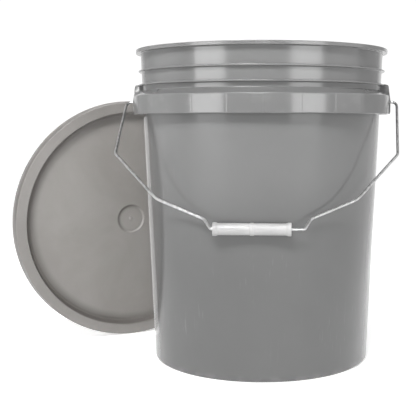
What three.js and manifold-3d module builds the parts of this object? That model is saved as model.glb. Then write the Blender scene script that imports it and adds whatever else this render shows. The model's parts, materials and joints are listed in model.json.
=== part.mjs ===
// Plastic fermenting bucket: a moulded pail with a wire bail and a plastic grip, and its
// press-fit lid standing on edge behind it, leaning on the pail. Millimetres, +Z up. The origin
// is the centre of the pail's underside, and the two bail ears are on the X axis.

import * as THREE from 'three';
import { mergeVertices } from 'three/addons/utils/BufferGeometryUtils.js';
import Module from 'manifold-3d';

const wasm = await Module();
wasm.setup();

// ---------- driving dimensions ----------

const roundSegments = 48;

const pail = {
  height: 372.5,
  baseRadius: 131,        // outer wall, carried down to the floor
  taper: 0.04,            // growth of the wall's radius per millimetre of height
  wall: 2.3,
  cornerRadius: 4,
  floorThickness: 2.8,
  recess: 1.6,            // underside, between the foot ring and the centre pad
  padRadius: 26,
  footInner: 112,
};

const bead = { radius: 151.3, underside: 368.2, innerRadius: 145.2, edge: 0.9 };

const fins = { tipRadius: 148.4, thickness: 1.9, heights: [330, 346.3] };

const band = { radius: 154, bottom: 296.7, top: 318.4, coneTop: 324.4, wall: 2.2 };

const skirtRibs = { count: 20, thickness: 1.8, bottom: 298.8 };

const insideWall = 136;     // a radius inside the pail's wall, where fused pieces start

const ear = {
  halfWidth: 16,
  wall: 2.2,
  bottom: 296.9,
  reach: 155,             // outer face of the ear plate at and below the pivot
  topReach: 152.3,        // the same face at the top of the ear
  top: 331.4,
  capRoot: 333.2,         // where the sloping cap meets the pail's wall
  bossRadius: 5.5,
  bossReach: 156.2,
  holeRadius: 2.15,
};

const pivotHeight = 311.7;

const wire = {
  radius: 1.6,
  headRadius: 2.8,
  headThickness: 1.6,
  headReach: 146.4,       // inner face of the upset head, inside the ear
  seatLength: 201.2,      // from the pivot axis to the straight that carries the grip
  bend: 7,                // straight length that each rounded corner takes up
  seatBend: 3,
};

// Half outlines of the bail, from the pivot to the grip's seat: distance from the middle of the
// pail, then distance from the pivot axis. The wire is sprung a little towards the left ear.
const leftArm = [[165.5, 0], [168.2, 88], [112.6, 158.4], [59.6, 187.2]];
const rightArm = [[164.5, 0], [158.6, 89], [109.4, 157.8], [60.6, 186.2]];
const seatHalfLength = 50.4;

const grip = {
  length: 84.5,
  offset: -5,             // slid along its seat, up to the left bend
  boreRadius: 2.6,
  barrelRadius: 6.9,
  ringRadius: 7.7,
  ringWidth: 3.6,
  clearance: 0.4,         // to the pail's wall when the bail hangs
};

const lid = {
  radius: 158,
  skirtDepth: 18.5,
  skirtWall: 2,
  topThickness: 2.2,
  ringInner: 143.5,
  plugRadius: 142.4,
  plugDepth: 12.8,
  panelDepth: 10.4,
  dimpleRadius: 18.4,
  dimpleDepth: 1.3,
  lugCount: 20,
  lugRadius: 150.9,
  lugTop: 11.9,
  lugHeight: 3.2,
  lugHalfAngle: 5,        // degrees
};

const gasket = { inner: 146.2, outer: 151.2, top: 2.5, bottom: 4.7 };

const lidPlace = { azimuth: 31, along: 108, lean: 2.6, standOff: 155.2 };

// ---------- helpers ----------

const degrees = (angle) => THREE.MathUtils.degToRad(angle);

const wallRadius = (height) => pail.baseRadius + pail.taper * height;

function arc(x, y, radius, from, to, steps) {
  const points = [];
  for (let i = 0; i <= steps; i += 1) {
    const angle = degrees(from + ((to - from) * i) / steps);
    points.push([x + radius * Math.cos(angle), y + radius * Math.sin(angle)]);
  }
  return points;
}

function revolve(profile, segments = roundSegments) {
  const points = profile.map(([r, h]) => new THREE.Vector2(r, h));
  return new THREE.LatheGeometry(points, segments).rotateX(Math.PI / 2);
}

function toSolid(geometry) {
  const bare = geometry.clone();
  bare.deleteAttribute('normal');
  bare.deleteAttribute('uv');
  const merged = mergeVertices(bare, 1e-4);
  const index = merged.index.array;
  const triangles = [];
  for (let i = 0; i < index.length; i += 3) {
    const [a, b, c] = [index[i], index[i + 1], index[i + 2]];
    if (a !== b && b !== c && c !== a) triangles.push(a, b, c);
  }
  const vertProperties = Float32Array.from(merged.attributes.position.array);
  const triVerts = Uint32Array.from(triangles);
  return new wasm.Manifold(new wasm.Mesh({ numProp: 3, vertProperties, triVerts }));
}

function toGeometry(solid) {
  const mesh = solid.getMesh();
  const geometry = new THREE.BufferGeometry();
  geometry.setAttribute('position', new THREE.BufferAttribute(mesh.vertProperties, 3));
  geometry.setIndex(new THREE.BufferAttribute(mesh.triVerts, 1));
  geometry.computeVertexNormals();
  return geometry;
}

// A side view drawn in the XZ plane and extruded along Y, centred on Y = 0.
function slab(outline, width) {
  const shape = new THREE.Shape(outline.map(([x, z]) => new THREE.Vector2(x, z)));
  const geometry = new THREE.ExtrudeGeometry(shape, { depth: width, bevelEnabled: false });
  return geometry.translate(0, 0, -width / 2).rotateX(Math.PI / 2);
}

function cylinderAlongX(radius, from, to, height, segments = 16) {
  const geometry = new THREE.CylinderGeometry(radius, radius, to - from, segments);
  return geometry.rotateZ(Math.PI / 2).translate((from + to) / 2, 0, height);
}

// ---------- pail ----------

function pailProfile() {
  const insetFoot = pail.footInner + 1.5;
  const cornerHeight = pail.cornerRadius;
  const coneRoot = band.coneTop - 2.9;
  const innerFace = band.radius - band.wall;
  const outside = [
    [0, 0],
    [pail.padRadius, 0],
    [pail.padRadius + 1.5, pail.recess],
    [pail.footInner, pail.recess],
    [insetFoot, 0],
    ...arc(wallRadius(cornerHeight) - cornerHeight, cornerHeight, cornerHeight, -90, 0, 3),
    [wallRadius(coneRoot), coneRoot],
    [innerFace, band.top - 2],
    [innerFace, band.bottom + 0.8],
    [innerFace + 0.7, band.bottom],
    [band.radius - 0.7, band.bottom],
    [band.radius, band.bottom + 0.8],
    [band.radius, band.top - 1],
    [band.radius - 1, band.top],
    [wallRadius(band.coneTop) + 0.6, band.coneTop],
    [wallRadius(band.coneTop + 1), band.coneTop + 1],
  ];
  for (const height of fins.heights) {
    outside.push([wallRadius(height), height]);
    outside.push([fins.tipRadius, height + 0.2]);
    outside.push([fins.tipRadius, height + fins.thickness - 0.2]);
    outside.push([wallRadius(height + fins.thickness), height + fins.thickness]);
  }
  const rim = [
    [wallRadius(bead.underside - 1.6), bead.underside - 1.6],
    [bead.radius - bead.edge, bead.underside],
    [bead.radius, bead.underside + bead.edge],
    ...arc(bead.radius - bead.edge, pail.height - bead.edge, bead.edge, 0, 90, 2),
    [bead.innerRadius + 1.6, pail.height],
    [bead.innerRadius, pail.height - 1.2],
    [wallRadius(bead.underside) - pail.wall, bead.underside],
  ];
  const floorTop = pail.recess + pail.floorThickness;
  const innerCorner = 5;
  const innerRadius = wallRadius(floorTop + innerCorner) - pail.wall;
  const inside = [
    ...arc(innerRadius - innerCorner, floorTop + innerCorner, innerCorner, 0, -90, 3),
    [0, floorTop],
  ];
  return [...outside, ...rim, ...inside];
}

// Everything inside the pail's outer wall, used to trim what is fused to the wall.
function wallCore(inset) {
  const low = band.bottom - 20;
  return toSolid(revolve([
    [0, low],
    [wallRadius(low) - inset, low],
    [wallRadius(pail.height) - inset, pail.height],
    [0, pail.height],
  ]));
}

// Radial ribs between the wall and the inside of the band, one on each pitch except at the ears.
function skirtRibSolids() {
  const outer = band.radius - band.wall / 2;
  const ringOutline = [
    [wallRadius(skirtRibs.bottom) - 0.6, skirtRibs.bottom],
    [outer, skirtRibs.bottom],
    [outer, band.top - 1.2],
    [wallRadius(band.coneTop) - 0.6, band.coneTop - 1.2],
    [wallRadius(skirtRibs.bottom) - 0.6, skirtRibs.bottom],
  ];
  const ring = toSolid(revolve(ringOutline));
  const low = skirtRibs.bottom - 1;
  const high = band.coneTop;
  const far = band.radius + 2;
  const side = [[insideWall, low], [far, low], [far, high], [insideWall, high]];
  const blade = toSolid(slab(side, skirtRibs.thickness));
  const pitch = 360 / skirtRibs.count;
  const ribs = [];
  for (let i = 0; i < skirtRibs.count; i += 1) {
    const angle = i * pitch;
    if (angle % 180 !== 0) ribs.push(blade.rotate([0, 0, angle]));
  }
  return wasm.Manifold.union(ribs).intersect(ring);
}

function earBlock(core) {
  const outline = [
    [insideWall, ear.bottom],
    [ear.reach, ear.bottom],
    [ear.reach, pivotHeight],
    [ear.topReach, ear.top],
    [wallRadius(ear.capRoot), ear.capRoot],
    [insideWall, ear.capRoot],
  ];
  const block = toSolid(slab(outline, 2 * ear.halfWidth)).subtract(core);
  const boss = cylinderAlongX(ear.bossRadius, ear.reach - 2, ear.bossReach, pivotHeight);
  return block.add(toSolid(boss));
}

function earHollow(core) {
  const reach = ear.reach - ear.wall - 0.3;
  const topReach = ear.topReach - ear.wall;
  const ceiling = ear.top - ear.wall;
  const outline = [
    [insideWall, ear.bottom - 2],
    [reach, ear.bottom - 2],
    [reach, pivotHeight],
    [topReach, ceiling - 0.4],
    [wallRadius(ceiling), ceiling],
    [insideWall, ceiling],
  ];
  const hollow = toSolid(slab(outline, 2 * (ear.halfWidth - ear.wall))).subtract(core);
  const hole = cylinderAlongX(ear.holeRadius, reach - 2, ear.bossReach + 2, pivotHeight);
  return hollow.add(toSolid(hole));
}

function makePail() {
  let solid = toSolid(revolve(pailProfile())).add(skirtRibSolids());
  const buriedCore = wallCore(0.6);
  const fullCore = wallCore(0);
  for (const turn of [0, 180]) {
    solid = solid.add(earBlock(buriedCore).rotate([0, 0, turn]));
    solid = solid.subtract(earHollow(fullCore).rotate([0, 0, turn]));
  }
  return toGeometry(solid);
}

// ---------- bail ----------

// The wire's centre line with every corner rounded, in the plane of the bail: X runs along the
// pivot axis and -Y runs from the pivot to the grip.
function bailPath() {
  const left = leftArm.map(([across, down]) => new THREE.Vector3(-across, -down, 0));
  const right = rightArm.map(([across, down]) => new THREE.Vector3(across, -down, 0));
  const corners = [
    new THREE.Vector3(-wire.headReach, 0, 0),
    ...left,
    new THREE.Vector3(-seatHalfLength, -wire.seatLength, 0),
    new THREE.Vector3(seatHalfLength, -wire.seatLength, 0),
    ...right.reverse(),
    new THREE.Vector3(wire.headReach, 0, 0),
  ];
  const path = new THREE.CurvePath();
  let from = corners[0];
  for (let i = 1; i < corners.length - 1; i += 1) {
    const corner = corners[i];
    const before = corners[i - 1].clone().sub(corner);
    const after = corners[i + 1].clone().sub(corner);
    const bend = corner.y === -wire.seatLength ? wire.seatBend : wire.bend;
    const cut = Math.min(bend, before.length() / 2.2, after.length() / 2.2);
    const start = corner.clone().add(before.setLength(cut));
    const end = corner.clone().add(after.setLength(cut));
    path.add(new THREE.LineCurve3(from, start));
    path.add(new THREE.QuadraticBezierCurve3(start, corner, end));
    from = end;
  }
  path.add(new THREE.LineCurve3(from, corners[corners.length - 1]));
  return path;
}

function wireSection() {
  const sides = 8;
  const points = [];
  for (let i = 0; i < sides; i += 1) {
    const angle = (2 * Math.PI * (i + 0.5)) / sides;
    points.push(new THREE.Vector2(wire.radius * Math.cos(angle), wire.radius * Math.sin(angle)));
  }
  return new THREE.Shape(points);
}

function makeBail() {
  const options = { steps: 118, extrudePath: bailPath(), bevelEnabled: false };
  let solid = toSolid(new THREE.ExtrudeGeometry(wireSection(), options));
  const inner = wire.headReach;
  const outer = wire.headReach + wire.headThickness;
  for (const [from, to] of [[inner, outer], [-outer, -inner]]) {
    solid = solid.add(toSolid(cylinderAlongX(wire.headRadius, from, to, 0, 12)));
  }
  return toGeometry(solid);
}

// How far the hanging bail stands out from straight down, with the grip just off the pail's wall.
function bailTilt() {
  let tilt = degrees(45);
  for (let i = 0; i < 20; i += 1) {
    const gripHeight = pivotHeight - wire.seatLength * Math.cos(tilt);
    const reach = wallRadius(gripHeight) + grip.ringRadius + grip.clearance;
    tilt = Math.asin(reach / wire.seatLength);
  }
  return tilt;
}

// ---------- grip ----------

function makeGrip() {
  const half = grip.length / 2;
  const edge = 0.8;
  const endRing = half - grip.ringWidth;
  const midRing = grip.ringWidth / 2;
  const outside = [
    [grip.boreRadius, -half],
    [grip.ringRadius - edge, -half],
    [grip.ringRadius, -half + edge],
    [grip.ringRadius, -endRing - edge],
    [grip.barrelRadius, -endRing],
    [grip.barrelRadius, -midRing - edge],
    [grip.ringRadius - 0.3, -midRing],
    [grip.ringRadius - 0.3, midRing],
    [grip.barrelRadius, midRing + edge],
    [grip.barrelRadius, endRing],
    [grip.ringRadius, endRing + edge],
    [grip.ringRadius, half - edge],
    [grip.ringRadius - edge, half],
    [grip.boreRadius, half],
    [grip.boreRadius, -half],
  ];
  return revolve(outside, 20).rotateY(Math.PI / 2);
}

// ---------- lid ----------

// The lid as it sits on a pail: its top ring is at height 0 and the skirt hangs below it.
function lidProfile() {
  const skirtInner = lid.radius - 1.4 - lid.skirtWall;
  const dishFoot = lid.plugRadius - 2;
  const panelUnder = -lid.plugDepth;
  const dimpleFloor = -lid.panelDepth - lid.dimpleDepth;
  return [
    [0, panelUnder - 0.9],
    [lid.dimpleRadius + 2, panelUnder - 0.9],
    [lid.dimpleRadius + 3, panelUnder],
    [dishFoot, panelUnder],
    [lid.plugRadius, panelUnder + 1.8],
    [lid.plugRadius + 1.9, -lid.topThickness],
    [skirtInner, -lid.topThickness],
    [lid.radius - lid.skirtWall, -lid.skirtDepth],
    [lid.radius - 0.3, -lid.skirtDepth],
    [lid.radius, -lid.skirtDepth + 0.6],
    [lid.radius, -lid.skirtDepth + 2.6],
    [lid.radius - 0.9, -lid.skirtDepth + 3.2],
    [lid.radius - 1.4, -1.2],
    [lid.radius - 2.4, 0],
    [lid.ringInner + 0.6, 0],
    [lid.ringInner - 0.4, -0.8],
    [dishFoot + 0.3, -lid.panelDepth + 3],
    [dishFoot - 2.6, -lid.panelDepth],
    [lid.dimpleRadius, -lid.panelDepth],
    [lid.dimpleRadius - 1.4, dimpleFloor],
    [2.6, dimpleFloor],
    [2.2, dimpleFloor + 0.8],
    [0, dimpleFloor + 0.8],
  ];
}

// One snap lug: a block on the inside of the skirt that catches under the pail's bead.
function lugSolid() {
  const outer = lid.radius - lid.skirtWall - 0.2;
  const top = -lid.lugTop;
  const bottom = top - lid.lugHeight;
  const outline = [
    [lid.lugRadius, top - 0.8],
    [outer - 0.6, bottom - 0.4],
    [outer, bottom],
    [outer + 0.4, top],
    [lid.lugRadius + 0.8, top],
  ];
  const halfWidth = lid.lugRadius * Math.tan(degrees(lid.lugHalfAngle));
  return toSolid(slab(outline, 2 * halfWidth));
}

function makeLid() {
  let solid = toSolid(revolve(lidProfile()));
  const lug = lugSolid();
  for (let i = 0; i < lid.lugCount; i += 1) {
    solid = solid.add(lug.rotate([0, 0, (360 / lid.lugCount) * (i + 0.5)]));
  }
  return toGeometry(solid);
}

function makeGasket() {
  const { inner, outer, top, bottom } = gasket;
  return revolve([
    [inner + 0.8, -bottom],
    [outer - 0.8, -bottom],
    [outer, -bottom + 0.8],
    [outer, -top],
    [inner, -top],
    [inner, -bottom + 0.8],
    [inner + 0.8, -bottom],
  ]);
}

// ---------- assembly ----------

function mesh(name, geometry, color, roughness, metalness = 0) {
  const material = new THREE.MeshStandardMaterial({ color, roughness, metalness });
  const part = new THREE.Mesh(geometry, material);
  part.name = name;
  return part;
}

function bailGroup() {
  const group = new THREE.Group();
  group.position.set(0, 0, pivotHeight);
  group.rotation.x = Math.PI / 2 - bailTilt();
  group.add(mesh('bail', makeBail(), '#b9bcbd', 0.35, 0.9));
  const handle = mesh('grip', makeGrip(), '#f1f1ee', 0.4);
  handle.position.set(grip.offset, -wire.seatLength, 0);
  group.add(handle);
  return group;
}

// The lid stands on its edge, with its top facing the pail and leaning on the pail's band.
function lidGroup() {
  const lean = degrees(lidPlace.lean);
  const reach = lidProfile().map(([r, h]) => r * Math.cos(lean) + h * Math.sin(lean));
  const away = degrees(90 + lidPlace.azimuth);
  const outward = new THREE.Vector3(Math.cos(away), Math.sin(away), 0);
  const along = new THREE.Vector3(-Math.sin(away), Math.cos(away), 0);
  const group = new THREE.Group();
  group.position.addScaledVector(outward, lidPlace.standOff);
  group.position.addScaledVector(along, lidPlace.along);
  group.position.z = Math.max(...reach);
  group.rotation.order = 'ZYX';
  group.rotation.z = degrees(lidPlace.azimuth);
  group.rotation.x = Math.PI / 2 + lean;
  group.add(mesh('lid', makeLid(), '#a29f98', 0.5));
  group.add(mesh('lid_gasket', makeGasket(), '#33312f', 0.8));
  return group;
}

const assembly = new THREE.Group();
assembly.add(mesh('bucket', makePail(), '#969797', 0.3));
assembly.add(bailGroup());
assembly.add(lidGroup());

export default assembly;
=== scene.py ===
# Plastic fermenting bucket: the pail with its wire bail and grip, and its lid leaning behind it.
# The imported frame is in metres, and so is every mesh. Outlines and sizes are in millimetres.

import json
import math

import bmesh
import bpy
from mathutils import Euler, Matrix, Vector


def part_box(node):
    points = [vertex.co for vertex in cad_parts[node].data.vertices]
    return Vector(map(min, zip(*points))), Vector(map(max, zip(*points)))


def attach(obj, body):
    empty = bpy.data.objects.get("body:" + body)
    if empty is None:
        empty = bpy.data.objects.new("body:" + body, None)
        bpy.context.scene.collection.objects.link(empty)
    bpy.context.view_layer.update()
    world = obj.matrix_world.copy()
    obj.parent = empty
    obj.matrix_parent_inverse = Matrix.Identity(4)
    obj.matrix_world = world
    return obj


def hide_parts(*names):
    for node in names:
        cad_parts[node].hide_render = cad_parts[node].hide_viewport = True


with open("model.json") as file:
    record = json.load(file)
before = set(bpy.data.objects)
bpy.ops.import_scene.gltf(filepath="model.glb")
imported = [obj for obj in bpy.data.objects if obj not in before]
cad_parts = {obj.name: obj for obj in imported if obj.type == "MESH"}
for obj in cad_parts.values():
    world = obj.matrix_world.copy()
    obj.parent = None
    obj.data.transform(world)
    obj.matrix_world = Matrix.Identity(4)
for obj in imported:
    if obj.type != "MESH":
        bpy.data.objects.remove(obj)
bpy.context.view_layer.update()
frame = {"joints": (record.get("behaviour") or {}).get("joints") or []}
joints = {joint["name"]: joint for joint in frame["joints"]}


# ---------------------------------------------------------------- sizes, in millimetres

MM = 0.001

# The pail. Its wall is a cone, and heights are above its underside.
BASE_RADIUS, TAPER, WALL, FLOOR_TOP = 131.0, 0.04, 2.3, 4.4
BAND_RADIUS, BAND_WALL, BAND_LOW, BAND_HIGH, CONE_HIGH = 154.0, 2.2, 296.7, 318.4, 324.4
FIN_RADIUS, FIN_THICKNESS = 148.4, 1.9
FIN_HEIGHTS = (330.0, 346.3)
BEAD_RADIUS, BEAD_INNER, BEAD_UNDER, PAIL_HEIGHT = 151.3, 145.2, 368.2, 372.5
RIB_PLACES, RIB_HALF = 20, 0.9      # around the inside of the band; the ears take two places
MARKS, MARK_TURN = 24, 2.8          # faint upright moulding marks on the band, turned 2.8 degrees

# The ears. A reach is a distance from the pail's middle.
EAR_HALF, EAR_WALL, EAR_LOW = 16.0, 2.2, 296.9
EAR_REACH, EAR_TOP_REACH, EAR_TOP, EAR_ROOT = 155.0, 152.3, 331.4, 333.2
BOSS_RADIUS, BOSS_REACH, HOLE_RADIUS = 5.5, 156.2, 2.15

# The bail. Its bends are (distance from the pail's middle, distance from the pivot axis, radius).
WIRE_RADIUS, WIRE_SIDES = 1.6, 14
HEAD_RADIUS, HEAD_REACH, HEAD_THICKNESS = 2.8, 146.4, 1.6
LEFT_ARM = [(-165.5, 0, 8.5), (-168.2, 88, 9), (-112.6, 158.4, 26), (-57.4, 187.4, 9)]
RIGHT_ARM = [(164.4, 0, 8.5), (158.6, 89, 9), (109.4, 157.8, 26), (58.2, 186.4, 9)]
SEAT_LEFT, SEAT_RIGHT, SEAT_BEND = -49.5, 51.2, 3.0

# The grip, a tube with a flared ring at each end and a low one in the middle.
GRIP_HALF, GRIP_BARREL, GRIP_RING, GRIP_BORE = 42.25, 6.5, 7.3, 2.6

# The lid lies face up, with its outer ring at height 0, until lid_matrix stands it on edge.
LID_AZIMUTH, LID_LEAN = 31.0, 2.6   # degrees
LID_EDGE, LID_LIP, LIP_LOW = 156.4, 157.4, -18.3
RING_INNER, RING_UNDER = 143.4, -2.2
DISH_EDGE, DISH_TOP, DISH_UNDER = 136.6, -10.4, -12.8
DIMPLE_RADIUS, DIMPLE_TOP, DIMPLE_UNDER = 18.9, -11.7, -13.7
GATE_RADIUS, GATE_TOP = 2.2, -10.9
LUGS, LUG_SPAN = 20, 10.0           # snap lugs inside the skirt, and the degrees that each takes
GASKET_INNER, GASKET_OUTER, GASKET_TOP, GASKET_UNDER = 146.2, 151.2, -2.5, -4.7

# The bail's pivot and the grip's seat are in metres. The bail is drawn flat, with X along its pivot
# axis and Y towards the seat, and BAIL_TO_FRAME turns it to the way that it hangs.
PIVOT = Vector(joints["bail_hinge"]["pos_m"])
SEAT = Vector(joints["grip_spin"]["pos_m"])
HANG = Vector((0, SEAT.y - PIVOT.y, SEAT.z - PIVOT.z))
SEAT_LENGTH = HANG.length / MM
X_AXIS = Vector((1, 0, 0))
BAIL_TO_FRAME = Matrix((X_AXIS, HANG.normalized(), X_AXIS.cross(HANG.normalized()))).transposed()


def wall_radius(z):
    """The outside of the pail's wall at a height."""
    return BASE_RADIUS + TAPER * z


# ---------------------------------------------------------------- shader graphs

class Graph:
    """Short calls for wiring one material's nodes."""

    def __init__(self, name):
        self.material = bpy.data.materials.new(name)
        self.material.use_nodes = True
        self.nodes = self.material.node_tree.nodes
        self.links = self.material.node_tree.links
        self.shader = self.nodes["Principled BSDF"]

    def put(self, socket, value):
        if isinstance(value, bpy.types.NodeSocket):
            self.links.new(value, socket)
        elif value is not None:
            socket.default_value = value

    def math(self, operation, first, second=None, third=None, clamp=False):
        node = self.nodes.new("ShaderNodeMath")
        node.operation = operation
        node.use_clamp = clamp
        for socket, value in zip(node.inputs, (first, second, third)):
            self.put(socket, value)
        return node.outputs[0]

    def vector(self, operation, first, second=None, output="Vector"):
        node = self.nodes.new("ShaderNodeVectorMath")
        node.operation = operation
        self.put(node.inputs[0], first)
        self.put(node.inputs[1], second)
        return node.outputs[output]

    def ramp(self, value, low, high, to_low=0.0, to_high=1.0):
        """Goes smoothly from one value to another, and stays there."""
        node = self.nodes.new("ShaderNodeMapRange")
        node.interpolation_type = "SMOOTHSTEP"
        for name, number in (("Value", value), ("From Min", low), ("From Max", high),
                             ("To Min", to_low), ("To Max", to_high)):
            self.put(node.inputs[name], number)
        return node.outputs["Result"]

    def noise(self, place, scale, detail=3.0, rough=0.5, distortion=0.0):
        node = self.nodes.new("ShaderNodeTexNoise")
        for name, number in (("Vector", place), ("Scale", scale), ("Detail", detail),
                             ("Roughness", rough), ("Distortion", distortion)):
            self.put(node.inputs[name], number)
        return node.outputs["Fac"]

    def mix(self, factor, first, second):
        node = self.nodes.new("ShaderNodeMix")
        node.data_type = "RGBA"
        self.put(node.inputs["Factor"], factor)
        self.put(node.inputs[6], first)
        self.put(node.inputs[7], second)
        return node.outputs[2]

    def split(self, vector):
        node = self.nodes.new("ShaderNodeSeparateXYZ")
        self.put(node.inputs[0], vector)
        return node.outputs

    def bump(self, height, distance, base=None):
        node = self.nodes.new("ShaderNodeBump")
        self.put(node.inputs["Height"], height)
        node.inputs["Distance"].default_value = distance
        self.put(node.inputs["Normal"], base)
        return node.outputs["Normal"]

    def radius(self, place):
        """How far a place is from the piece's own Z axis."""
        return self.vector("LENGTH", self.vector("MULTIPLY", place, (1.0, 1.0, 0.0)), output="Value")

    def facing(self, place, direction):
        """Near 1 where a place lies in a direction from the Z axis, and near -1 opposite."""
        outwards = self.vector("NORMALIZE", self.vector("MULTIPLY", place, (1.0, 1.0, 0.0)))
        return self.vector("DOT_PRODUCT", outwards, direction, "Value")

    def local(self):
        """The piece's own coordinates in metres, stored on the mesh before it was put in place."""
        node = self.nodes.new("ShaderNodeAttribute")
        node.attribute_name = "local"
        return node.outputs["Vector"]

    def set(self, name, value):
        self.put(self.shader.inputs[name], value)


def grey(level, warmth=0.0):
    """A grey that leans towards red where warmth is above 0."""
    return (level * (1 + warmth), level, level * (1 - warmth), 1.0)


# ---------------------------------------------------------------- camera, floor and lights

def add_camera():
    """The view was fitted to the outline of the pail in the photograph."""
    camera = bpy.data.objects.new("camera", bpy.data.cameras.new("camera"))
    bpy.context.scene.collection.objects.link(camera)
    camera.location = (0.0334, -1.0514, 0.2868)
    camera.rotation_euler = Euler((math.radians(84.29), 0.0, math.radians(3.0)))
    camera.data.sensor_width = 36.0
    camera.data.lens = 73.9
    camera.data.shift_x = -0.0853
    camera.data.clip_end = 50.0
    bpy.context.scene.camera = camera


def add_softbox(name, azimuth, elevation, distance, width, height, radiance,
                spread=180.0, aim=(0, 0, 0.3)):
    """A lit panel that faces a point. Azimuth is measured from -Y towards +X, in degrees."""
    target = Vector(aim)
    turn, rise = math.radians(azimuth), math.radians(elevation)
    towards = Vector((math.sin(turn) * math.cos(rise), -math.cos(turn) * math.cos(rise), math.sin(rise)))
    light = bpy.data.lights.new(name, "AREA")
    light.shape = "RECTANGLE"
    light.size = width
    light.size_y = height
    light.energy = radiance * width * height * math.pi
    light.spread = math.radians(spread)
    panel = bpy.data.objects.new(name, light)
    panel.location = target + towards * distance
    panel.rotation_euler = Euler((math.pi / 2 - rise, 0.0, turn))
    panel.visible_camera = False
    bpy.context.scene.collection.objects.link(panel)


def add_world():
    """A white room, brighter behind the object than on the side of the camera."""
    world = bpy.data.worlds.new("studio")
    bpy.context.scene.world = world
    world.use_nodes = True
    nodes, links = world.node_tree.nodes, world.node_tree.links
    background = nodes["Background"]
    direction = nodes.new("ShaderNodeTexCoord")
    split = nodes.new("ShaderNodeSeparateXYZ")
    links.new(direction.outputs["Generated"], split.inputs[0])
    brightness = nodes.new("ShaderNodeMapRange")
    brightness.interpolation_type = "SMOOTHSTEP"
    brightness.inputs["From Min"].default_value = 0.80
    brightness.inputs["From Max"].default_value = 0.90
    brightness.inputs["To Min"].default_value = 0.6
    brightness.inputs["To Max"].default_value = 1.05
    links.new(split.outputs["Y"], brightness.inputs["Value"])
    links.new(brightness.outputs["Result"], background.inputs["Strength"])
    background.inputs["Color"].default_value = (1.0, 1.0, 1.0, 1.0)
    bpy.context.scene.view_settings.view_transform = "Standard"


def add_floor():
    """A pale floor that glows a little, so that it is as white as the room."""
    half = 12.0
    corners = [(-half, -half, 0), (half, -half, 0), (half, half, 0), (-half, half, 0)]
    mesh = bpy.data.meshes.new("floor")
    mesh.from_pydata(corners, [], [(0, 1, 2, 3)])
    floor = bpy.data.objects.new("floor", mesh)
    bpy.context.scene.collection.objects.link(floor)
    g = Graph("floor_white")
    g.set("Base Color", grey(0.85))
    g.set("Roughness", 0.9)
    g.set("Emission Color", grey(1.0))
    g.set("Emission Strength", 0.5)
    mesh.materials.append(g.material)


def add_lights():
    """Two long softboxes in front, a weak panel at each side, and three lights with one task each."""
    add_softbox("softbox_left", -45.0, 3.2, 2.2, 1.15, 0.46, 6.2)
    add_softbox("softbox_right", 42.0, 3.2, 2.2, 1.15, 0.46, 6.2)
    add_softbox("side_left", -95.0, 12.0, 2.6, 1.6, 1.6, 0.6)
    add_softbox("side_right", 84.0, 16.0, 2.6, 1.5, 1.4, 0.95)
    add_softbox("rim_left", -150.0, 0.0, 0.06, 0.07, 0.29, 0.62, aim=(-0.139, 0, 0.148))
    add_softbox("key", -14.0, 38.0, 1.5, 0.6, 0.6, 3.2, spread=44.0, aim=(0, 0, 0.54))
    add_softbox("lid_fill", 6.0, 14.0, 2.4, 0.5, 0.5, 0.2, spread=20.0, aim=(-0.24, 0.11, 0.17))


# ---------------------------------------------------------------- materials

def pail_plastic():
    """Semi-gloss moulded polyethylene with painted shade darkening it towards the bottom, rubbed paler near
    the foot, with fine upright scuffs.
    """
    g = Graph("pail_plastic")
    place = g.local()
    x, y, z = g.split(place)
    clouds = g.noise(place, 9.0, 4.0, 0.55)
    shade = g.mix(g.ramp(clouds, 0.3, 0.7), grey(0.121), grey(0.130))
    # Painted shade: towards the bottom of the pail the colour is mixed towards dark grey, where less light
    # falls.
    shade = g.mix(g.ramp(z, 0.28, 0.10, 0.0, 0.28), shade, grey(0.05))

    stretched = g.vector("MULTIPLY", place, (1.0, 1.0, 0.07))
    streaks = g.ramp(g.noise(stretched, 420.0, 2.0, 0.6), 0.60, 0.74)
    where = g.ramp(g.noise(place, 13.0, 2.0, 0.5), 0.50, 0.66)
    below = g.math("MULTIPLY", g.ramp(z, 0.285, 0.24), g.ramp(z, 0.01, 0.05))
    scuffs = g.math("MULTIPLY", g.math("MULTIPLY", streaks, where), below)

    patches = g.ramp(g.noise(place, 70.0, 3.0), 0.40, 0.62)
    foot = g.math("MULTIPLY", g.ramp(z, 0.010, 0.001), patches)
    at_edge = g.ramp(g.radius(place), (BAND_RADIUS - 0.6) * MM, BAND_RADIUS * MM)
    edge = g.math("MULTIPLY", at_edge, g.ramp(g.noise(place, 50.0, 4.0), 0.52, 0.70))
    rubbed = g.math("MULTIPLY_ADD", foot, 0.10, g.math("MULTIPLY", edge, 0.06))
    worn = g.math("MULTIPLY_ADD", scuffs, 0.12, rubbed, clamp=True)
    g.set("Base Color", g.mix(worn, shade, grey(0.34)))
    g.set("Roughness", g.math("MULTIPLY_ADD", worn, 0.5, g.ramp(clouds, 0.3, 0.7, 0.13, 0.19)))

    turns = g.math("MULTIPLY", g.math("ARCTAN2", y, x), MARKS / (2 * math.pi))
    across = g.math("FRACT", g.math("ADD", turns, MARKS + 0.5 - MARK_TURN * MARKS / 360))
    off_mark = g.math("ABSOLUTE", g.math("SUBTRACT", across, 0.5))
    over_low_edge = g.ramp(z, (BAND_LOW - 0.7) * MM, (BAND_LOW + 1.3) * MM)
    under_top_edge = g.ramp(z, (BAND_HIGH + 0.1) * MM, (BAND_HIGH - 1.4) * MM)
    on_band = g.math("MULTIPLY", over_low_edge, under_top_edge)
    sink = g.math("MULTIPLY", g.ramp(off_mark, 0.004, 0.032), on_band)
    peel = g.noise(place, 260.0, 2.0)
    g.set("Normal", g.bump(peel, 0.00002, g.bump(sink, 0.00010)))
    return g.material


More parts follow.
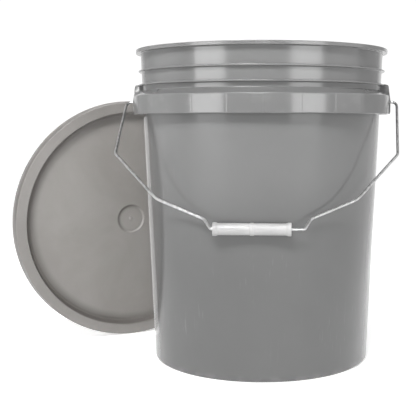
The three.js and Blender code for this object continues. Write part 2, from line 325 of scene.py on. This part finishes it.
def lid_plastic():
    """Satin polyethylene, darker on the ring, with painted shade in the dish's corner, most towards
    the lower left, and round the dimple, most on its upper left."""
    g = Graph("lid_plastic")
    place = g.local()
    radius = g.radius(place)
    height = g.split(place)["Z"]
    clouds = g.noise(place, 11.0, 5.0, 0.6, 0.4)
    shade = g.mix(g.ramp(clouds, 0.3, 0.72), grey(0.196, 0.055), grey(0.226, 0.045))
    # The ring is made darker, unevenly.
    on_ring = g.ramp(radius, (RING_INNER - 0.2) * MM, (RING_INNER + 0.6) * MM)
    ring_darkening = g.math("MULTIPLY", on_ring, g.ramp(g.noise(place, 25.0, 4.0), 0.2, 0.8, 0.10, 0.22))
    shade = g.mix(ring_darkening, shade, grey(0.10, 0.03))

    # Painted shade: the dish's inner wall and corner are darkened, most towards the lower left, where shade
    # falls in the dish.
    low_left = g.ramp(g.facing(place, (-0.86, -0.51, 0.0)), -0.9, 0.9)
    inner_edge = g.math("MULTIPLY_ADD", low_left, -0.014, 0.1395)
    corner = g.ramp(radius, inner_edge, g.math("ADD", inner_edge, 0.012))
    corner = g.math("MULTIPLY", corner, g.math("MULTIPLY_ADD", low_left, 0.54, 0.05))
    # Painted shade round the dimple, strongest on its upper left side.
    up_left = g.ramp(g.facing(place, (-0.8, 0.6, 0.0)), -0.6, 0.9)
    step = g.math("MULTIPLY", g.ramp(radius, 0.0125, 0.0178), g.ramp(radius, 0.0200, 0.0187))
    step = g.math("MULTIPLY", g.math("MULTIPLY_ADD", up_left, 0.5, 0.06), step)
    in_dish = g.math("MULTIPLY", g.ramp(height, -0.0008, -0.0022), g.ramp(height, -0.0125, -0.0119))
    painted_shade = g.math("MULTIPLY", g.math("ADD", corner, step), in_dish)
    # The painted shade mixes the colour towards a dark warm brown.
    g.set("Base Color", g.mix(painted_shade, shade, grey(0.055, 0.12)))
    g.set("Roughness", g.ramp(clouds, 0.25, 0.75, 0.36, 0.5))
    fine = g.noise(place, 700.0, 3.0)
    g.set("Normal", g.bump(fine, 0.00003, g.bump(clouds, 0.0004)))
    return g.material


def grip_plastic():
    """White injection-moulded tube with a fine parting line."""
    g = Graph("grip_plastic")
    place = g.local()
    tone = g.noise(place, 60.0, 3.0)
    parting = g.ramp(g.math("ABSOLUTE", g.split(place)["X"]), 0.00035, 0.00010)
    shade = g.mix(g.ramp(tone, 0.3, 0.7), grey(0.35, 0.004), grey(0.39, 0.004))
    g.set("Base Color", g.mix(g.math("MULTIPLY", parting, 0.15), shade, grey(0.4)))
    g.set("Roughness", g.ramp(tone, 0.3, 0.7, 0.30, 0.40))
    g.set("Normal", g.bump(g.noise(place, 900.0, 2.0), 0.00002, g.bump(parting, 0.00006)))
    return g.material


def gasket_rubber():
    """Black rubber, dull and a little dusty."""
    g = Graph("gasket_rubber")
    place = g.local()
    tone = g.noise(place, 45.0, 4.0)
    g.set("Base Color", g.mix(tone, grey(0.020), grey(0.045, 0.03)))
    g.set("Roughness", g.ramp(tone, 0.3, 0.7, 0.6, 0.8))
    g.set("Normal", g.bump(g.noise(place, 1500.0, 2.0), 0.00003))
    return g.material


def galvanised():
    """Drawn wire under zinc: pale, slightly mottled, with fine lines along its length."""
    g = Graph("galvanised_wire")
    place = g.local()
    mottle = g.noise(place, 240.0, 4.0, 0.6)
    g.set("Base Color", g.mix(g.ramp(mottle, 0.35, 0.65), grey(0.34), grey(0.52)))
    g.set("Metallic", 1.0)
    g.set("Roughness", g.ramp(mottle, 0.3, 0.7, 0.28, 0.42))
    lines = g.noise(g.vector("MULTIPLY", place, (1.0, 0.12, 1.0)), 2600.0, 2.0)
    g.set("Normal", g.bump(lines, 0.00002))
    return g.material


# ---------------------------------------------------------------- mesh helpers

HOLD = 0.3      # a point this far beyond each rounded corner keeps the shading of flat faces flat


def fillet(outline, closed=False):
    """Rounds the corners of an outline of (x, y, radius) points, and gives (x, y) points."""
    count = len(outline)
    result = []
    for i, (x, y, radius) in enumerate(outline):
        corner = Vector((x, y))
        inner = closed or 0 < i < count - 1
        if radius <= 0 or not inner:
            result.append(corner)
            continue
        before = Vector(outline[i - 1][:2]) - corner
        after = Vector(outline[(i + 1) % count][:2]) - corner
        turn = before.angle(after)
        reach = min(radius / math.tan(turn / 2), before.length * 0.49, after.length * 0.49)
        start = corner + before.normalized() * reach
        end = corner + after.normalized() * reach
        steps = 2 if turn > math.radians(150) else 4
        if before.length / 2 > reach + HOLD:
            result.append(start + before.normalized() * HOLD)
        for k in range(steps + 1):
            t = k / steps
            result.append((1 - t) ** 2 * start + 2 * t * (1 - t) * corner + t * t * end)
        if after.length / 2 > reach + HOLD:
            result.append(end + after.normalized() * HOLD)
    return result


def object_from(name, bm):
    """An object in the scene from a bmesh, with its faces turned outwards."""
    bmesh.ops.recalc_face_normals(bm, faces=bm.faces)
    mesh = bpy.data.meshes.new(name)
    bm.to_mesh(mesh)
    bm.free()
    made = bpy.data.objects.new(name, mesh)
    bpy.context.scene.collection.objects.link(made)
    return made


def around(radius, angle, z):
    """A point on a ring about the Z axis."""
    return (radius * math.cos(angle), radius * math.sin(angle), z)


def revolve(outline, segments, closed=False):
    """Turns (radius, height) points about Z. Points on the axis become one vertex."""
    bm = bmesh.new()
    rings = []
    for point in outline:
        radius, z = point.x * MM, point.y * MM
        if radius < 1e-6:
            rings.append([bm.verts.new((0, 0, z))])
            continue
        angles = [2 * math.pi * k / segments for k in range(segments)]
        rings.append([bm.verts.new(around(radius, angle, z)) for angle in angles])
    pairs = list(zip(rings, rings[1:]))
    if closed:
        pairs.append((rings[-1], rings[0]))
    for low, high in pairs:
        for k in range(segments):
            nxt = (k + 1) % segments
            corners = [low[k % len(low)], low[nxt % len(low)], high[nxt % len(high)], high[k % len(high)]]
            bm.faces.new(list(dict.fromkeys(corners)))
    return bm


def loft(bm, loops):
    """Adds a closed solid through matching loops of points in metres, with a cap at each end."""
    rings = [[bm.verts.new(point) for point in loop] for loop in loops]
    bm.faces.new(rings[0])
    bm.faces.new(list(reversed(rings[-1])))
    for low, high in zip(rings, rings[1:]):
        for k in range(len(low)):
            nxt = (k + 1) % len(low)
            bm.faces.new((low[k], high[k], high[nxt], low[nxt]))


def combine(target, tools, operation):
    """Applies an exact boolean of the tools to the target, and removes the tools."""
    for tool in tools:
        modifier = target.modifiers.new("combine", "BOOLEAN")
        modifier.operation = operation
        modifier.solver = "EXACT"
        modifier.object = tool
    bpy.context.view_layer.update()
    evaluated = target.evaluated_get(bpy.context.evaluated_depsgraph_get())
    mesh = bpy.data.meshes.new_from_object(evaluated)
    target.modifiers.clear()
    target.data = mesh
    for tool in tools:
        bpy.data.objects.remove(tool)


def finish_mesh(mesh, material, sharp=32.0):
    """Shading and material for a finished mesh, with its own coordinates kept as an attribute."""
    store = mesh.attributes.new("local", "FLOAT_VECTOR", "POINT")
    store.data.foreach_set("vector", [c for v in mesh.vertices for c in v.co])
    mesh.shade_smooth()
    mesh.set_sharp_from_angle(angle=math.radians(sharp))
    mesh.materials.append(material)


def place(made, node, body, slot):
    """A finished piece stands for a CAD node, whose mesh is hidden, and rides on a body. The slot is not
    used.
    """
    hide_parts(node)
    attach(made, body)


# ---------------------------------------------------------------- pail

def pail_outline():
    """The pail's section: from the middle of its underside up the outside, then down the inside."""
    inner_face = BAND_RADIUS - BAND_WALL
    points = [
        (0, 0, 0), (26, 0, 0.8), (27.5, 1.6, 0.8), (112, 1.6, 0.8), (113.5, 0, 0.8),
        (131.2, 0, 4.2),
    ]
    points += [(wall_radius(z), z, 0) for z in (40, 110, 180, 250)]
    points += [
        (wall_radius(321.5), 321.5, 0.8),
        (inner_face, BAND_HIGH - 2, 1.0), (inner_face, BAND_LOW + 0.1, 0.5),
        (BAND_RADIUS, BAND_LOW, 0.8), (BAND_RADIUS, BAND_HIGH, 0.7),
        (wall_radius(CONE_HIGH), CONE_HIGH, 1.2),
    ]
    for z in FIN_HEIGHTS:
        points += [
            (wall_radius(z), z, 0.7), (FIN_RADIUS, z + 0.2, 0.8),
            (FIN_RADIUS, z + FIN_THICKNESS - 0.2, 0.25),
            (wall_radius(z + FIN_THICKNESS), z + FIN_THICKNESS, 0.7),
        ]
    points += [
        (wall_radius(BEAD_UNDER), BEAD_UNDER, 0.8), (BEAD_RADIUS, BEAD_UNDER, 0.6),
        (BEAD_RADIUS, PAIL_HEIGHT, 0.35), (BEAD_INNER, PAIL_HEIGHT, 1.2),
        (wall_radius(BEAD_UNDER) - WALL, BEAD_UNDER, 1.5),
        (wall_radius(200) - WALL, 200, 0),
        (wall_radius(FLOOR_TOP) - WALL, FLOOR_TOP, 5.0), (0, FLOOR_TOP, 0),
    ]
    return fillet(points)


def ribs():
    """The radial ribs inside the band, as separate plates in one mesh."""
    bm = bmesh.new()
    outline = [
        (wall_radius(BAND_LOW) - 1.1, BAND_LOW + 2.1), (BAND_RADIUS - 1.1, BAND_LOW + 2.1),
        (BAND_RADIUS - 1.1, BAND_HIGH - 1.1), (wall_radius(CONE_HIGH) - 0.9, CONE_HIGH - 1.7),
    ]
    for k in range(RIB_PLACES):
        at_ear = k % (RIB_PLACES // 2) == 0
        if at_ear:
            continue
        turn = Matrix.Rotation(2 * math.pi * k / RIB_PLACES, 4, "Z")
        loft(bm, [[turn @ Vector((x * MM, y * MM, z * MM)) for x, z in outline]
                  for y in (-RIB_HALF, RIB_HALF)])
    return bm


def ear_block():
    """An ear's outside, still solid, with rounded edges."""
    outline = fillet([
        (wall_radius(EAR_LOW) - 1.2, EAR_LOW, 0), (EAR_REACH, EAR_LOW, 2.4),
        (EAR_REACH, PIVOT.z / MM, 30), (EAR_TOP_REACH, EAR_TOP, 2.2),
        (wall_radius(EAR_ROOT) - 1.2, EAR_ROOT, 0),
    ])
    bm = bmesh.new()
    loft(bm, [[(p.x * MM, y * MM, p.y * MM) for p in outline] for y in (-EAR_HALF, EAR_HALF)])
    clear_of_wall = 0.1435
    rounded = [e for e in bm.edges if abs(e.verts[0].co.y - e.verts[1].co.y) < 1e-7
               and max(v.co.x for v in e.verts) > clear_of_wall]
    bmesh.ops.bevel(bm, geom=rounded, offset=1.1 * MM, segments=3, profile=0.5, affect="EDGES")
    return bm


def ear_hollow():
    """The space inside an ear, open below, which follows the pail's round wall."""
    reach, top_reach = EAR_REACH - EAR_WALL - 0.3, EAR_TOP_REACH - EAR_WALL
    ceiling, opening = EAR_TOP - EAR_WALL, EAR_LOW - 3
    half = EAR_HALF - EAR_WALL
    loops = []
    for k in range(9):
        y = half * (k / 4 - 1)
        low_root, high_root = [math.sqrt((wall_radius(z) + 0.15) ** 2 - y * y) for z in (opening, ceiling)]
        outline = [
            (low_root, opening), (reach, opening), (reach, PIVOT.z / MM),
            (top_reach, ceiling - 0.4), (high_root, ceiling),
        ]
        loops.append([(x * MM, y * MM, z * MM) for x, z in outline])
    bm = bmesh.new()
    loft(bm, loops)
    return bm


def rod_on_pivot(name, radius, near, far, near_edge=0.0, far_edge=0.0, segments=32):
    """A round rod along the bail's pivot axis, from one reach to another, with rounded ends."""
    outline = [(0, near, 0), (radius, near, near_edge), (radius, far, far_edge), (0, far, 0)]
    bm = revolve(fillet(outline), segments)
    to_pivot = Matrix.Translation(PIVOT) @ Matrix.Rotation(math.pi / 2, 4, "Y")
    bmesh.ops.transform(bm, matrix=to_pivot, verts=bm.verts)
    return object_from(name, bm)


def make_pail():
    """The turned shell gains its ribs and ears, and then loses the ears' hollows and wire holes."""
    pail = object_from("bucket_shell", revolve(pail_outline(), 288))
    added = [object_from("ribs", ribs())]
    removed = []
    for turn in (0, math.pi):
        block = object_from("ear", ear_block())
        combine(block, [rod_on_pivot("boss", BOSS_RADIUS, EAR_REACH - 1, BOSS_REACH, far_edge=0.9)], "UNION")
        hollow = object_from("hollow", ear_hollow())
        combine(hollow, [rod_on_pivot("hole", HOLE_RADIUS, EAR_REACH - 5, BOSS_REACH + 1)], "UNION")
        for made, group in ((block, added), (hollow, removed)):
            made.data.transform(Matrix.Rotation(turn, 4, "Z"))
            group.append(made)
    combine(pail, added, "UNION")
    combine(pail, removed, "DIFFERENCE")
    finish_mesh(pail.data, pail_plastic())
    place(pail, "bucket", "bucket", "pail_plastic")


# ---------------------------------------------------------------- bail and grip

def bail_point(across, down, off):
    """A point of the bail's plane, or off it, in metres in the frame."""
    return PIVOT + BAIL_TO_FRAME @ Vector((across * MM, down * MM, off * MM))


def make_bail():
    """The wire is swept along its bends, and an upset head closes each end inside its ear."""
    path = fillet([
        (-HEAD_REACH, 0, 0), *LEFT_ARM, (SEAT_LEFT, SEAT_LENGTH, SEAT_BEND),
        (SEAT_RIGHT, SEAT_LENGTH, SEAT_BEND), *reversed(RIGHT_ARM), (HEAD_REACH, 0, 0),
    ])
    loops = []
    for i, point in enumerate(path):
        before, after = path[max(i - 1, 0)], path[min(i + 1, len(path) - 1)]
        along = (after - before).normalized()
        sideways = Vector((-along.y, along.x))
        loop = []
        for k in range(WIRE_SIDES):
            angle = 2 * math.pi * k / WIRE_SIDES
            side = point + sideways * WIRE_RADIUS * math.cos(angle)
            loop.append(bail_point(side.x, side.y, WIRE_RADIUS * math.sin(angle)))
        loops.append(loop)
    bm = bmesh.new()
    loft(bm, loops)
    bail = object_from("bail_wire", bm)
    heads = []
    for side in (-1, 1):
        near, far = side * HEAD_REACH, side * (HEAD_REACH + HEAD_THICKNESS)
        heads.append(rod_on_pivot("head", HEAD_RADIUS, near, far, near_edge=0.6, far_edge=0.6, segments=24))
    combine(bail, heads, "UNION")
    finish_mesh(bail.data, galvanised(), 40.0)
    place(bail, "bail", "bail", "galvanised_wire")


def make_grip():
    """A moulded tube, turned about Z and then laid on the bail's seat."""
    half, ring, barrel, low_ring = GRIP_HALF, GRIP_RING, GRIP_BARREL, GRIP_RING - 0.3
    outline = fillet([
        (GRIP_BORE, -half, 0.3), (ring, -half, 0.7), (ring, -half + 3.6, 1.4), (barrel, -half + 6.0, 3.0),
        (barrel, -2.6, 1.0), (low_ring, -1.4, 0.7), (low_ring, 1.4, 0.7), (barrel, 2.6, 1.0),
        (barrel, half - 6.0, 3.0), (ring, half - 3.6, 1.4), (ring, half, 0.7), (GRIP_BORE, half, 0.3),
    ], closed=True)
    grip = object_from("grip_tube", revolve(outline, 64, closed=True))
    finish_mesh(grip.data, grip_plastic())
    grip.data.transform(Matrix.Translation(SEAT) @ Matrix.Rotation(math.pi / 2, 4, "Y"))
    place(grip, "grip", "grip", "grip_plastic")


# ---------------------------------------------------------------- lid

def lid_outline():
    """The lid's section: from the middle of its underside to the skirt, then back along the top."""
    return fillet([
        (0, DIMPLE_UNDER, 0), (DIMPLE_RADIUS + 1.5, DIMPLE_UNDER, 0.5),
        (DIMPLE_RADIUS + 2.5, DISH_UNDER, 0.5), (140.4, DISH_UNDER, 0), (142.4, -11, 1.4),
        (144.3, RING_UNDER, 0.9), (154.6, RING_UNDER, 0.9), (155.9, LIP_LOW, 0.5),
        (LID_LIP, LIP_LOW, 0.6), (LID_LIP, -15.6, 0.6), (LID_LIP - 0.3, -15.3, 0.4), (156.6, -1.0, 0),
        (LID_EDGE, 0, 1.6), (RING_INNER, 0, 1.0), (140.4, -9, 1.6), (DISH_EDGE, DISH_TOP, 3.4),
        (DIMPLE_RADIUS, DISH_TOP, 1.0), (DIMPLE_RADIUS - 2.3, DIMPLE_TOP, 1.0),
        (GATE_RADIUS + 0.7, DIMPLE_TOP, 0.6), (GATE_RADIUS, GATE_TOP, 0.5), (0, GATE_TOP, 0),
    ])


def lugs():
    """The snap lugs on the inside of the skirt, as separate curved blocks in one mesh."""
    bm = bmesh.new()
    outline = [(150.9, -12.7), (155.0, -15.5), (155.9, -15.1), (155.9, -11.9), (151.7, -11.9)]
    for k in range(LUGS):
        middle = 360 / LUGS * (k + 0.5)
        angles = [math.radians(middle + LUG_SPAN * (step / 6 - 0.5)) for step in range(7)]
        loft(bm, [[around(r * MM, angle, z * MM) for r, z in outline] for angle in angles])
    return bm


def lid_matrix(mesh):
    """Stands the lid on edge, and moves it so that its box has the same middle as the CAD lid's."""
    stand = Euler((math.radians(90 + LID_LEAN), 0, math.radians(LID_AZIMUTH)), "XYZ").to_matrix().to_4x4()
    points = [stand @ v.co for v in mesh.vertices]
    low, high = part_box("lid")
    shift = []
    for i in range(3):
        values = [p[i] for p in points]
        shift.append((low[i] + high[i] - min(values) - max(values)) / 2)
    return Matrix.Translation(shift) @ stand


def make_lid():
    """The lid with its lugs, and the gasket in its channel."""
    lid = object_from("lid_shell", revolve(lid_outline(), 288))
    combine(lid, [object_from("lugs", lugs())], "UNION")
    finish_mesh(lid.data, lid_plastic())
    standing = lid_matrix(lid.data)
    lid.data.transform(standing)
    place(lid, "lid", "lid", "lid_plastic")

    outline = fillet([
        (GASKET_INNER, GASKET_TOP, 0.3), (GASKET_INNER, GASKET_UNDER, 0.9),
        (GASKET_OUTER, GASKET_UNDER, 0.9), (GASKET_OUTER, GASKET_TOP, 0.3),
    ], closed=True)
    gasket = object_from("lid_gasket_ring", revolve(outline, 192, closed=True))
    finish_mesh(gasket.data, gasket_rubber())
    gasket.data.transform(standing)
    place(gasket, "lid_gasket", "lid", "gasket_rubber")


# ---------------------------------------------------------------- the scene

add_world()
add_floor()
add_lights()
add_camera()
make_pail()
make_bail()
make_grip()
make_lid()
